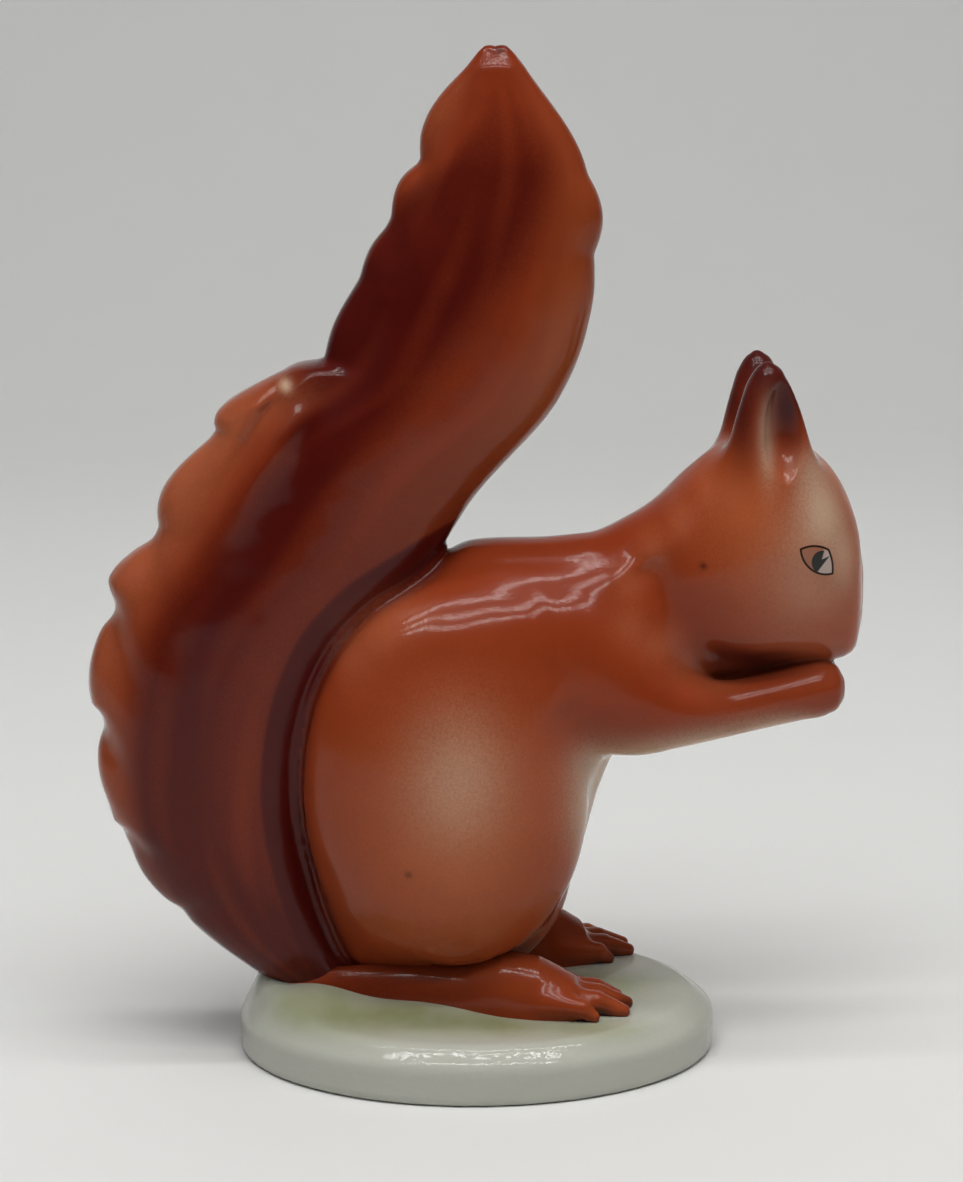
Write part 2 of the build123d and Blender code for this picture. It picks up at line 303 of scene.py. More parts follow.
def egg(block, middle, radii, leanBack=0.0):
    c, s = math.cos(math.radians(leanBack)), math.sin(math.radians(leanBack))
    dx, dy, dz = block.x - middle[0], block.y - middle[1], block.z - middle[2]
    px, py, pz = (dx * c + dz * s) / radii[0], dy / radii[1], (dz * c - dx * s) / radii[2]
    r = np.sqrt(px * px + py * py + pz * pz)
    steep = np.sqrt((px / radii[0]) ** 2 + (py / radii[1]) ** 2 + (pz / radii[2]) ** 2)
    return (r - 1) * r / np.maximum(steep, 1e-4)


def strandRelief(block, strands):
    # how far the skin sinks at each point of the side view, for soft ridges and valleys
    flatX, flatZ = block.flatX, block.flatZ
    relief = np.zeros(flatX.shape)
    for line, width, height in strands:
        apart, reached = np.full(flatX.shape, 1e6), np.zeros(flatX.shape)
        for i, ((x0, z0), (x1, z1)) in enumerate(itertools.pairwise(line)):
            spanX, spanZ = x1 - x0, z1 - z0
            f = np.clip(((flatX - x0) * spanX + (flatZ - z0) * spanZ) / (spanX**2 + spanZ**2), 0, 1)
            away = np.hypot(flatX - x0 - f * spanX, flatZ - z0 - f * spanZ)
            reached = np.where(away < apart, (i + f) / (len(line) - 1), reached)
            apart = np.minimum(apart, away)
        fade = np.clip(reached * 6, 0, 1) * np.clip((1 - reached) * 2.2, 0, 1)  # it dies away at both ends
        relief -= height * fade * bell(apart, width * (0.7 + 0.7 * reached))
    return relief.astype(np.float32)[:, None, :]


def tailForm(block):
    flatX, flatZ = block.flatX, block.flatZ
    rows = np.array(tail["stations"])
    run, low, f = smoothRun(rows, 260)
    blunt = np.where(low == tail["tuft"], 0.6, 1.2)  # the tuft rises at once, the other locks softly
    arch = np.sin(math.pi * f ** rows[low, 8]) ** blunt
    outer, inner = rows[low, 6] * arch, rows[low, 7] * np.sin(math.pi * f)
    line, place, past, half = fanMap(run, flatX, flatZ)
    a = along(half, line)
    edge = np.clip((np.abs(place) / np.maximum(a, 0.1) - 0.45) / 0.55, 0, 1) ** 2.5  # only the rim swells
    u = place + np.where(place < 0, along(outer, line), -along(inner, line)) * edge
    u, a, b, over = (m.astype(np.float32)[:, None, :] for m in (u, a, along(run[:, 4], line), past))
    shell = ovalDistance(u, block.y, a, b, tail["squareness"]) + strandRelief(block, tail["strands"])
    reach, taper, rounding = tail["tip"]
    return np.where(over > 0, smoothMax(shell + taper * over, over - reach, rounding), shell)


low, high = (np.array(corner) / mm for corner in cadBox)
low, high = low - sculpt["margin"], high + sculpt["margin"]
low[1], high[1] = -sculpt["reach"] + sculpt["step"] / 2, 0  # the right half, mirrored once it is whole
low[2] = ground - sculpt["sunk"] - 2 * sculpt["step"]
room = Block(low, high, sculpt["step"])
forms = {
    "torso": fanForm(room, torso["stations"]),
    "haunch": egg(room, haunch["middle"], haunch["radii"], haunch["leanBack"]),
    "head": fanForm(room, head["stations"]),
    "arm": smoothMin(fanForm(room, arm["stations"]), fanForm(room, arm["between"]), 1.0),
    "ear": fanForm(room, ear["stations"]),
    "tail": tailForm(room),
}
cup = ear["cup"]
forms["ear"] = smoothMax(forms["ear"], -egg(room, cup["middle"], cup["radii"]), cup["blend"])
print("forms laid out on a grid of", forms["tail"].shape)


joints = {}  # distance to each joint that is painted over


def creased(crease):
    # 1 where two castings meet in a sharp crease, 0 where slip rounds it off
    startX, length, topZ, height = crease
    return np.clip((room.x - startX) / length, 0, 1) * np.clip((topZ - room.z) / height, 0, 1)


def luted():
    # the castings joined, with soft fillets where slip was wiped smooth and a groove beside the tail
    high, front = haunch["blend"]
    crease = np.maximum(creased(haunch["frontCrease"]), creased(haunch["lowCrease"]))
    trunk = smoothMin(forms["torso"], forms["haunch"], high + (front - high) * crease)
    trunk = smoothMin(trunk, forms["arm"], arm["blend"])
    crown = smoothMin(forms["head"], forms["ear"], ear["blend"])
    joint = head["neckBlend"] + (head["chinBlend"] - head["neckBlend"]) * creased(head["chinCrease"])
    start, width = body["plain"]
    outside = np.clip((-start - room.y) / width, 0, 1)
    whole = smoothMin(trunk, crown, joint) + strandRelief(room, body["strands"]) * outside
    seam = np.sqrt(whole**2 + forms["tail"] ** 2)
    joints["tail"] = seam
    depth, width = tail["groove"]
    whole = whole + depth * bell(forms["tail"] - tail["grooveAt"], width)
    skin = np.minimum(np.minimum(whole, forms["tail"]), seam - tail["bead"])
    return np.maximum(skin, (ground - sculpt["sunk"]) - room.z)


def mirrored(half):
    return np.concatenate((half, half[:, ::-1, :]), axis=1)


def surfaceNet(field):
    inside = field < 0
    count = np.zeros(tuple(n - 1 for n in field.shape), np.uint8)
    corners = list(itertools.product((0, 1), repeat=3))
    for dx, dy, dz in corners:
        count += inside[dx:dx + count.shape[0], dy:dy + count.shape[1], dz:dz + count.shape[2]]
    live = (count > 0) & (count < 8)
    cells = np.argwhere(live)
    number = np.full(live.shape, -1, np.int32)
    number[live] = np.arange(len(cells))
    cellX, cellY, cellZ = cells.T
    values = np.stack([field[cellX + dx, cellY + dy, cellZ + dz] for dx, dy, dz in corners], 1)
    total, hits = np.zeros((len(cells), 3)), np.zeros(len(cells))
    for i, j in itertools.combinations(range(8), 2):
        a, b = np.array(corners[i]), np.array(corners[j])
        if np.abs(a - b).sum() != 1:
            continue
        va, vb = values[:, i], values[:, j]
        cross = (va < 0) != (vb < 0)
        f = np.where(cross, va / np.where(cross, va - vb, 1), 0)
        total += np.where(cross[:, None], a + f[:, None] * (b - a), 0)
        hits += cross
    points = cells + total / hits[:, None]
    quads = []
    for axis in range(3):
        first, second = (axis + 1) % 3, (axis + 2) % 3
        change = np.diff(inside, axis=axis)
        spots = np.argwhere(change)
        keep = (spots[:, first] > 0) & (spots[:, second] > 0)
        keep &= (spots[:, first] < number.shape[first]) & (spots[:, second] < number.shape[second])
        spots = spots[keep]
        ring = []
        for stepA, stepB in ((-1, -1), (0, -1), (0, 0), (-1, 0)):
            near = spots.copy()
            near[:, first] += stepA
            near[:, second] += stepB
            ring.append(number[near[:, 0], near[:, 1], near[:, 2]])
        ring = np.stack(ring, 1)
        outward = inside[spots[:, 0], spots[:, 1], spots[:, 2]]
        quads.append(np.where(outward[:, None], ring, ring[:, ::-1]))
    return points, np.concatenate(quads)


def sampled(field, points):
    cell = np.clip(points.astype(int), 0, np.array(field.shape) - 2)
    f = points - cell
    value = 0
    for dx, dy, dz in itertools.product((0, 1), repeat=3):
        weight = np.abs(1 - dx - f[:, 0]) * np.abs(1 - dy - f[:, 1]) * np.abs(1 - dz - f[:, 2])
        value = value + weight * field[cell[:, 0] + dx, cell[:, 1] + dy, cell[:, 2] + dz]
    return value


def skinOf(field, block):
    # the field's surface: places in millimetres, their normals, and the faces
    points, quads = surfaceNet(field)
    slopes = np.gradient(field)
    for _ in range(2):  # settle the points on the surface itself
        slope = np.stack([sampled(s, points) for s in slopes], 1)
        size = np.maximum(np.sum(slope**2, 1), 0.2 * block.step**2)
        move = sampled(field, points) / size
        points -= np.clip(move, -1, 1)[:, None] * slope * 0.9
    normals = np.stack([sampled(s, points) for s in slopes], 1)
    normals /= np.maximum(np.linalg.norm(normals, axis=1), 1e-6)[:, None]
    return points, block.origin + points * block.step, normals, quads


points, places, normals, quads = skinOf(mirrored(luted()), room)
print("skin has", len(places), "points and", len(quads), "faces")

# each face belongs to the casting whose form lies nearest
edges = np.unique(np.sort(np.concatenate([quads[:, [i, (i + 1) % 4]] for i in range(4)]), axis=1), axis=0)
linkCount = np.bincount(edges.ravel(), minlength=len(places))
ownerNames = list(forms)
ranks = []
for name in ownerNames:
    rank = sampled(mirrored(forms[name]), points)
    for _ in range(25):
        total = np.bincount(edges[:, 0], rank[edges[:, 1]], len(places))
        total += np.bincount(edges[:, 1], rank[edges[:, 0]], len(places))
        rank = 0.5 * rank + 0.5 * total / np.maximum(linkCount, 1)
    ranks.append(rank)
faceRank = np.stack([rank[quads].mean(1) for rank in ranks], 1)
faceOwner = faceRank.argmin(1)
faceLeft = places[quads].mean(1)[:, 1] > 0


def newMesh(name, points, faces, normals=None):
    mesh = bpy.data.meshes.new(name)
    mesh.vertices.add(len(points))
    mesh.vertices.foreach_set("co", np.asarray(points, np.float32).ravel())
    sizes = np.array([len(face) for face in faces], np.int32)
    mesh.loops.add(int(sizes.sum()))
    mesh.loops.foreach_set("vertex_index", np.concatenate(faces).astype(np.int32))
    mesh.polygons.add(len(faces))
    mesh.polygons.foreach_set("loop_start", (np.cumsum(sizes) - sizes).astype(np.int32))
    mesh.polygons.foreach_set("use_smooth", np.ones(len(faces), bool))
    mesh.update(calc_edges=True)
    mesh.validate()
    if normals is not None:
        mesh.normals_split_custom_set_from_vertices(np.asarray(normals, np.float32))
    return mesh


def rimOf(faces):
    directed = np.concatenate([faces[:, [i, (i + 1) % 4]] for i in range(4)])
    _, index, count = np.unique(np.sort(directed, axis=1), axis=0, return_index=True, return_counts=True)
    return directed[index[count == 1]]


def walled(faces, points, normals):
    # a thin inner wall closes a casting that is open where it joins its neighbours
    inner = points - normals * sculpt["wall"]
    rim = rimOf(faces)
    side = np.stack((rim[:, 1], rim[:, 0], rim[:, 0] + len(points), rim[:, 1] + len(points)), 1)
    allFaces = list(np.concatenate([faces, faces[:, ::-1] + len(points), side]))
    return np.concatenate([points, inner]), np.concatenate([normals, -normals]), allFaces


def capped(faces, points, normals):
    # one fan inside closes a casting with a single open rim
    rim = rimOf(faces)
    ring = np.unique(rim)
    inner = points[ring] - normals[ring] * sculpt["wall"] * 2
    number = np.zeros(len(points), int)
    number[ring] = len(points) + np.arange(len(ring))
    centre = len(points) + len(ring)
    side = np.stack((rim[:, 1], rim[:, 0], number[rim[:, 0]], number[rim[:, 1]]), 1)
    fan = np.stack((number[rim[:, 1]], number[rim[:, 0]], np.full(len(rim), centre)), 1)
    points = np.concatenate([points, inner, inner.mean(0)[None]])
    normals = np.concatenate([normals, -normals[ring], [(0, 0, 1)]])
    return points, normals, list(faces) + list(side) + list(fan)


paint = {
    # x, side, z, reach along each, strength
    "cream": [
        (-3.5, 19, 47.5, 7, 30, 9.5, 0.4),
        (16.8, 9, 33, 2.4, 12, 9, 0.5),
        (51.3, 9, 85, 4, 12, 6, 0.75),
        (49.6, 10, 91.2, 2.4, 12, 3.6, 0.4),
        (42.6, 10, 97, 1.3, 5, 6, 0.65),
        (54.6, 7, 78, 2.6, 12, 4.6, 0.6),
        (50.5, 9, 72.6, 4.6, 12, 3.6, 0.3),
        (47, 11, 77, 5, 12, 8, 0.3),
        (18.5, 5, 42, 5.5, 14, 6.5, 0.95),
        (24, 9, 48, 8, 12, 3, 0.85),
        (34, 8, 50, 8, 12, 3, 0.85),
        (45, 6, 52, 7, 10, 2.4, 0.75),
        (-28.4, 9, 104, 0.9, 30, 0.9, 0.9),
    ],
    "dark": [
        (-16, 8, 11, 9, 8, 4, 0.55),
        (-2, 10, 12, 8, 8, 3.5, 0.35),
    ],
    "maroon": [
        (42, 6, 106.5, 7, 20, 5, 0.95),
        (45.7, 8, 100.4, 2.3, 12, 5.2, 1),
        (38.8, 6, 100, 2, 20, 7, 0.8),
        # painted shade in the mouth crease and the hollow under the cheek, above the paws
        (41.5, 7, 62, 6.5, 12, 2.2, 0.8),
        (37, 9, 63.6, 4, 12, 2.6, 0.6),
    ],
    "rustAndSheen": [
        (57.5, 0, 80, 2.6, 8, 20, 0.8),
        (54, 0, 91, 4, 6, 8, 0.9),
        (51, 8, 69, 8, 12, 8, 0.6),
        (42, 12, 75, 7, 12, 10, 0.35),
        # painted highlight: a paler band along the top of the arm
        (22.3, 14, 69, 3, 8, 3, 0.4),
        (27, 13, 66, 3.4, 8, 2.6, 0.5),
        (31.5, 12, 62.6, 3.4, 8, 2.4, 0.5),
        (36, 10, 60, 4, 8, 2.2, 0.4),
        # painted highlight: a paler band along the ridge of the neck
        (22, 12, 75, 2.4, 9, 2.6, 0.4),
        (25.7, 12, 79.8, 2.2, 9, 3.4, 0.5),
        (29.7, 12, 85, 2, 9, 3.4, 0.5),
        (33.7, 12, 90.2, 2, 9, 3.2, 0.45),
        # painted sheen on the upper back of the haunch
        (-19, 16, 65, 3, 10, 4, 0.4),
        (-15, 16, 68.5, 3.5, 10, 3.5, 0.45),
        (-11, 16, 71.5, 4, 10, 3, 0.4),
    ],
    "amber": [
        (-3.5, 19, 37, 17, 30, 20, 0.85),
        (40, 12, 86, 8, 12, 10, 0.6),
        (20, 16, 10, 5, 12, 3, 0.3),
    ],
    "claw": [
        (3.2, 0, 152.6, 0.9, 5, 0.8, 0.6),
        (33, 12, 77.9, 0.5, 10, 0.5, 0.8),
        (-10.8, 20, 33, 0.5, 10, 0.5, 0.75),
        (18.5, 13.6, 9.2, 1.4, 1.6, 1.6, 1),
        (22.5, 11.8, 9.2, 1.4, 1.6, 1.6, 1),
        (23, 8.6, 9.2, 1.4, 1.6, 1.6, 1),
    ],
}


fur = {
    # station, where the dark band begins and ends across the tail from -1 outer to 1 inner, its strength,
    # then the strength of the pale inner and outer edges, and how dark it stays past the band
    "bands": [
        (0, -0.2, 0.5, 0.1, 0.1, 0.1, 0.18),
        (0.5, -0.4, 0.55, 0.5, 0.2, 0.3, 0.18),
        (1, -0.75, 0.55, 0.85, 0.3, 0.1, 0.2),
        (2, -1.2, 0.3, 0.9, 0.4, 0, 0.25),
        (3, -1.3, 0.05, 1, 0.7, 0, 0.25),
        (4, -1.3, -0.2, 1, 0.8, 0, 0.3),
        (5, -0.5, 0.1, 1, 0.35, 0.8, 0.4),
        (6, -0.6, 0.1, 1, 0.1, 0.6, 0.5),
        (7, -0.6, 0.1, 1, 0, 0.5, 0.6),
        (8, -0.7, 0.1, 0.95, 0, 0.45, 0.6),
        (9, -0.8, 0.15, 0.9, 0, 0.35, 0.65),
        (10, -1, 0.3, 0.9, 0, 0.15, 0.75),
        (11, -1.2, 1.2, 0.9, 0, 0, 0.9),
        (13, -1.3, 1.2, 0.9, 0, 0, 0.9),
    ],
    "softness": 0.28,
    "least": 0.18,
    "strokes": 0.2,  # unevenness of the airbrush along the tail
    "paintedShadeCrescent": (5.0, 6.4),  # painted shade on the tail beside its joint with the back, from the joint outward
    "seam": 0.8,
    "seamReach": 2.6,
}


def ease(value, low, high):
    f = np.clip((value - low) / (high - low), 0, 1)
    return f * f * (3 - 2 * f)


def seamDistance(places):
    spots = (places * (1, 0, 1) - np.abs(places) * (0, 1, 0) - room.origin) / room.step
    return sampled(joints["tail"], np.clip(spots, 0, np.array(joints["tail"].shape) - 1.001))


def furBands(places):
    # the airbrushed dark stroke down the tail, its pale edges, and painted shade beside the joint with the
    # back
    run, low, f = smoothRun(tail["stations"], 260)
    line, place, _, half = fanMap(run, places[:, 0], places[:, 2])
    station, across = along(low + f, line), place / np.maximum(along(half, line), 0.5)
    rows, soft = np.array(fur["bands"]), fur["softness"]
    begin, end, dark, inner, outer, past = (np.interp(station, rows[:, 0], rows[:, i]) for i in range(1, 7))
    later = ease(across, end - soft, end + soft)
    dark = dark * ease(across, begin - soft, begin + soft) * (1 - later) + past * later
    fine, broad = np.sin(across * 12 + station * 0.8), np.sin(across * 5 - station * 0.6 + 2)
    dark -= fur["strokes"] * np.clip(fine * broad, 0, 1)
    # painted shade: darkest at the joint with the back, fading out across the tail
    dark = np.maximum(dark, 1 - ease(seamDistance(places), *fur["paintedShadeCrescent"]))
    # the pale outer edges are partly paler thin glaze and partly painted sheen
    inside, outside = inner * ease(across, 0.25, 0.9), outer * ease(-across, 0.55, 1.0)
    return {"dark": np.maximum(dark, fur["least"]), "amber": inside, "rustAndSheen": outside}


def seamPaint(places):
    # dark glaze lies in the groove between tail and back
    return fur["seam"] * bell(np.maximum(seamDistance(places) - tail["bead"], 0), fur["seamReach"])


def sprayed(spots, places):
    mask = np.zeros(len(places))
    for x, side, z, reachX, reachY, reachZ, strength in spots:
        away = ((places[:, 0] - x) / reachX) ** 2 + ((places[:, 2] - z) / reachZ) ** 2
        away += ((np.abs(places[:, 1]) - side) / reachY) ** 2
        mask = 1 - (1 - mask) * (1 - strength * np.exp(-away))
    return mask


class Wire:
    # one socket, with Python's operators adding Math nodes
    def __init__(self, tree, socket):
        self.tree, self.socket = tree, socket

    def maths(self, operation, *others, clamp=False):
        settings = {"operation": operation, "use_clamp": clamp}
        return self.tree.put("ShaderNodeMath", settings, dict(enumerate((self, *others))))

    def __add__(self, other):
        return self.maths("ADD", other)

    __radd__ = __add__

    def __sub__(self, other):
        return self.maths("SUBTRACT", other)

    def __rsub__(self, other):
        return self.tree.put("ShaderNodeMath", {"operation": "SUBTRACT"}, {0: other, 1: self})

    def __mul__(self, other):
        return self.maths("MULTIPLY", other)

    __rmul__ = __mul__

    def __truediv__(self, other):
        return self.maths("DIVIDE", other)

    def __rtruediv__(self, other):
        return self.tree.put("ShaderNodeMath", {"operation": "DIVIDE"}, {0: other, 1: self})

    def __pow__(self, other):
        return self.maths("POWER", other)

    def clamped(self):
        return self.maths("ADD", 0.0, clamp=True)


class Graph:
    # a node tree, and the one way that nodes get into it
    def __init__(self, tree):
        self.nodes, self.wires = tree.nodes, tree.links

    def put(self, kind, settings, values, out=0):
        node = self.nodes.new(kind)
        for name, value in settings.items():
            setattr(node, name, value)
        self.fill(node, values)
        return Wire(self, node.outputs[out])

    def fill(self, node, values):
        for key, value in values.items():
            if isinstance(value, Wire):
                self.wires.new(value.socket, node.inputs[key])
            else:
                node.inputs[key].default_value = value

    def smooth(self, value, low, high):
        settings = {"interpolation_type": "SMOOTHSTEP"}
        return self.put("ShaderNodeMapRange", settings, {0: value, 1: low, 2: high})


class Finish(Graph):
    # a material's own graph
    def __init__(self, name):
        self.material = bpy.data.materials.new(name)
        self.material.use_nodes = True
        super().__init__(self.material.node_tree)
        self.shader = self.nodes["Principled BSDF"]

    def mix(self, share, first, second):
        return self.put("ShaderNodeMix", {"data_type": "RGBA"}, {0: share, 6: first, 7: second}, 2)

    def place(self):
        return self.put("ShaderNodeTexCoord", {}, {}, "Object")

    def noise(self, scale, detail=3.0, rough=0.5):
        values = {"Vector": self.place(), "Scale": scale, "Detail": detail, "Roughness": rough}
        return self.put("ShaderNodeTexNoise", {}, values)

    def masks(self, attribute):
        color = self.put("ShaderNodeAttribute", {"attribute_name": attribute}, {})
        parts = self.put("ShaderNodeSeparateColor", {}, {0: color}).socket.node.outputs
        return [Wire(self, part) for part in parts]


def tone(red, green, blue):
    # a colour written as it shows on screen, 0 to 255
    shares = [c / 255 for c in (red, green, blue)]
    return tuple(((c + 0.055) / 1.055) ** 2.4 if c > 0.04 else c / 12.92 for c in shares) + (1.0,)


glaze = {
    "russet": tone(133, 51, 23),
    # dark paint on the ears, also the colour of the painted shade under the cheek
    "cream": tone(200, 175, 148),
    "dark": tone(75, 15, 10),
    "maroon": tone(66, 20, 20),
    # rust-coloured paint, also the colour of the painted highlights and sheen
    "rustAndSheen": tone(170, 94, 62),
    "amber": tone(170, 88, 47),
    "claw": tone(40, 18, 16),
    "speckle": 0.6,
}


def paintedGlaze(name, detail=None):
    finish = Finish(name)
    cream, dark, maroon = finish.masks("paintA")
    rustAndSheen, amber, claw = finish.masks("paintB")
    mist = finish.noise(2600.0, 4.0, 0.7) - 0.5
    color = glaze["russet"]
    layers = {"amber": amber, "dark": dark, "cream": cream, "rustAndSheen": rustAndSheen, "maroon": maroon, "claw": claw}
    for layer, mask in layers.items():
        grain = mask * (1 - mask) * 4.0 * glaze["speckle"]
        color = finish.mix((mask + mist * grain).clamped(), color, glaze[layer])
    cloud = finish.noise(60.0, 3.0) - 0.5
    color = finish.put("ShaderNodeHueSaturation", {}, {"Value": cloud * 0.16 + 1.0, "Color": color})
    if detail:
        color = detail(finish, color)
    ripple = finish.noise(110.0, 1.0) + finish.noise(420.0, 1.0) * 0.05 + finish.noise(2600.0, 2.0) * 0.03
    bump = finish.put("ShaderNodeBump", {}, {"Height": ripple, "Distance": 0.0015, "Strength": 0.4})
    finish.fill(finish.shader, {
        "Base Color": color,
        "Roughness": finish.noise(900.0) * 0.06 + 0.06,
        "Specular IOR Level": 0.14,
        "Coat Weight": 0.15,
        "Coat Roughness": 0.3,
        "Normal": bump,
    })
    return finish.material


eye = {
    # seen straight on, in millimetres from its middle: three lids, each an arc through three points
    "middle": (50.40, 74.83),
    "across": (0.99939, -0.0349, 0.0),
    "upward": (0.00726, 0.20778, 0.97815),
    "lids": [
        [(-2.57, 1.54), (-0.9, 2.02), (1.3, 1.72)],
        [(1.9, 1.3), (2.46, -0.6), (2.5, -1.9)],
        [(-2.57, 1.54), (-1.17, -1.19), (0.74, -2.08)],
    ],
    "line": 0.16,
    "pupil": [(0.01, -1.84), (-0.85, -0.31), (1.11, 1.37)],
    "back": [(0.01, -1.84), (2.0, 0.61)],
    "glint": [(1.11, 1.37), (0.74, 0.07), (2.0, 0.61)],
    "white": tone(176, 158, 150),
    "corner": tone(150, 100, 78),
    "iris": tone(44, 44, 42),
    "ink": tone(34, 16, 12),
}


def circleThrough(a, b, c):
    (ax, ay), (bx, by), (cx, cy) = a, b, c
    d = 2 * (ax * (by - cy) + bx * (cy - ay) + cx * (ay - by))
    squares = [x * x + y * y for x, y in (a, b, c)]
    x = (squares[0] * (by - cy) + squares[1] * (cy - ay) + squares[2] * (ay - by)) / d
    y = (squares[0] * (cx - bx) + squares[1] * (ax - cx) + squares[2] * (bx - ax)) / d
    return x, y, math.hypot(ax - x, ay - y)


def paintEye(finish, color):
    # an outlined eye on both sides of the head
    parts = finish.put("ShaderNodeSeparateXYZ", {}, {0: finish.place()}).socket.node.outputs
    x, y, z = (Wire(finish, part) * 1000 for part in parts)
    y = y.maths("ABSOLUTE") * -1
    u, v = (
        x * way[0] + y * way[1] + z * way[2] - start
        for way, start in zip((eye["across"], eye["upward"]), eye["middle"])
    )

    def arc(points):
        cx, cy, radius = circleThrough(*points)
        return ((u - cx) ** 2 + (v - cy) ** 2) ** 0.5 - radius

    def beside(start, end):
        # distance to the right of a line
        spanX, spanY = end[0] - start[0], end[1] - start[1]
        length = math.hypot(spanX, spanY)
        return (u - start[0]) * (spanY / length) - (v - start[1]) * (spanX / length)

    def share(distance, soft=0.05):
        return 1 - finish.smooth(distance, -soft, soft)

    lids = [arc(points) for points in eye["lids"]]
    edge = lids[0].maths("MAXIMUM", lids[1]).maths("MAXIMUM", lids[2])
    first, apex, last = eye["glint"]
    glint = beside(apex, first).maths("MINIMUM", beside(last, apex))
    iris = arc(eye["pupil"]).maths("MAXIMUM", beside(*eye["back"])).maths("MAXIMUM", glint)
    inner = finish.mix(share(beside(eye["back"][0], eye["glint"][0]), 0.5), eye["white"], eye["corner"])
    inner = finish.mix(share(iris), inner, eye["iris"])
    color = finish.mix(share(edge), color, inner)
    return finish.mix(share(edge.maths("ABSOLUTE") - eye["line"]), color, eye["ink"])


furGlaze = paintedGlaze("painted_glaze")
faceGlaze = paintedGlaze("face_glaze", paintEye)


def dress(name, points, normals, faces, close, nodes, slot, finish):
    # one casting of the skin as a piece of its own
    used, local = np.unique(faces, return_inverse=True)
    outer = points[used]
    allPoints, allNormals, allFaces = close(local.reshape(faces.shape), outer, normals[used])
    mesh = newMesh(name, allPoints * mm, allFaces, allNormals)
    extra = furBands(allPoints) if slot == "tail_glaze" else {"dark": seamPaint(allPoints)}
    for label, trio in (("paintA", ("cream", "dark", "maroon")), ("paintB", ("rustAndSheen", "amber", "claw"))):
        layer = mesh.attributes.new(label, "FLOAT_COLOR", "POINT")
        rgba = np.ones((len(allPoints), 4), np.float32)
        for i, mask in enumerate(trio):
            rgba[:, i] = np.maximum(sprayed(paint[mask], allPoints), extra.get(mask, 0))
        layer.data.foreach_set("color", rgba.ravel())
    mesh.materials.append(finish)
    piece = bpy.data.objects.new(name, mesh)
    bpy.context.scene.collection.objects.link(piece)
    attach(piece, "root")
    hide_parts(*nodes)
    print(name, "has", len(mesh.loop_triangles), "triangles")


slots = {"torso": "body_glaze", "haunch": "haunch_glaze", "head": "face_glaze", "arm": "body_glaze"}
slots.update({"ear": "ear_glaze", "tail": "tail_glaze"})
for index, name in enumerate(ownerNames):
    mine = faceOwner == index
    close = capped if name in ("ear", "tail") else walled
    finish = faceGlaze if name == "head" else furGlaze
    sides = {"": mine}
    if name in ("haunch", "arm", "ear"):
        sides = {"_right": mine & ~faceLeft, "_left": mine & faceLeft}
    for side, chosen in sides.items():
        node = name + side
        dress(node + "_skin", places, normals, quads[chosen], close, [node], slots[name], finish)

foot = {
    # share of the length, half width, height above the plinth
    "sole": [
        (0, 1.8, 3),
        (0.2, 2.6, 5.6),
        (0.42, 3.8, 6.6),
        (0.64, 5, 7.2),
        (0.76, 5.6, 9),
        (0.88, 5.7, 8.2),
        (0.95, 5.4, 6.6),
        (1, 5, 5.2),
    ],
    "heel": (-30.5, 4.2),
    "ball": (14.5, 10.6),
    "toes": [(-4.0, 3.4, 1.5), (-1.3, 7.6, 1.7), (1.4, 7.8, 1.7), (4.0, 6.2, 1.5)],  # across, reach, radius
    "toeRoot": 4,  # how far behind the ball a toe starts
    "fan": 5.0,  # degrees between toes
    "blend": 1.6,
    "groove": 0.35,
    "step": 0.36,
    # further forward, further out, how much higher, and the space across it
    "right": (0.0, 0.0, 1.0, (-22.0, 2.0)),
    "left": (2.5, 4.5, 1.16, (-2.0, 26.0)),
}


def capsule(block, start, end, radiusStart, radiusEnd):
    a, b = np.array(start, float), np.array(end, float)
    span = b - a
    rel = (block.x - a[0], block.y - a[1], block.z - a[2])
    t = np.clip(sum(r * s for r, s in zip(rel, span)) / (span @ span), 0, 1)
    away = np.sqrt(sum((r - t * s) ** 2 for r, s in zip(rel, span)))
    return away - (radiusStart + (radiusEnd - radiusStart) * t)


def footField(block, heel, ball, rise):
    # seen along the foot: a low arch on the plinth, then four knuckled toes
    length = math.dist(heel, ball)
    ahead = ((ball[0] - heel[0]) / length, (ball[1] - heel[1]) / length)
    u = (block.x - heel[0]) * ahead[0] + (block.y - heel[1]) * ahead[1]
    v = (block.y - heel[1]) * ahead[0] - (block.x - heel[0]) * ahead[1]
    rows = np.array(foot["sole"])
    share = np.clip(u / length, 0, 1)
    wide = np.interp(share, rows[:, 0], rows[:, 1])
    tall = np.interp(share, rows[:, 0], rows[:, 2]) * rise
    over = np.maximum(np.maximum(-u, u - length), 0)
    sole = ovalDistance(v, block.z - ground, wide, tall, 2.2)
    sole = np.where(over > 0, np.hypot(np.maximum(sole, 0), over) + np.minimum(sole, 0) * 0.4, sole)
    toes, back = None, foot["toeRoot"]
    ahead = np.array(ahead)
    right = np.array((-ahead[1], ahead[0]))
    for i, (across, reach, radius) in enumerate(foot["toes"]):
        turn = math.radians((i - 1.5) * foot["fan"]) + math.atan2(ahead[1], ahead[0])
        root = ball + right * across - ahead * back
        way = np.array((math.cos(turn), math.sin(turn)))
        knee, tip = root + way * (back + reach * 0.45), root + way * (back + reach)
        bones = np.minimum(
            capsule(block, (*root, ground + 2.4), (*knee, ground + 1.9), radius * 1.15, radius * 1.1),
            capsule(block, (*knee, ground + 1.9), (*tip, ground + 0.8), radius * 1.1, radius * 0.62),
        )
        toes = bones if toes is None else smoothMin(toes, bones, foot["groove"])
    whole = smoothMin(sole, toes, foot["blend"])
    return np.maximum(whole, ground - sculpt["sunk"] - block.z)


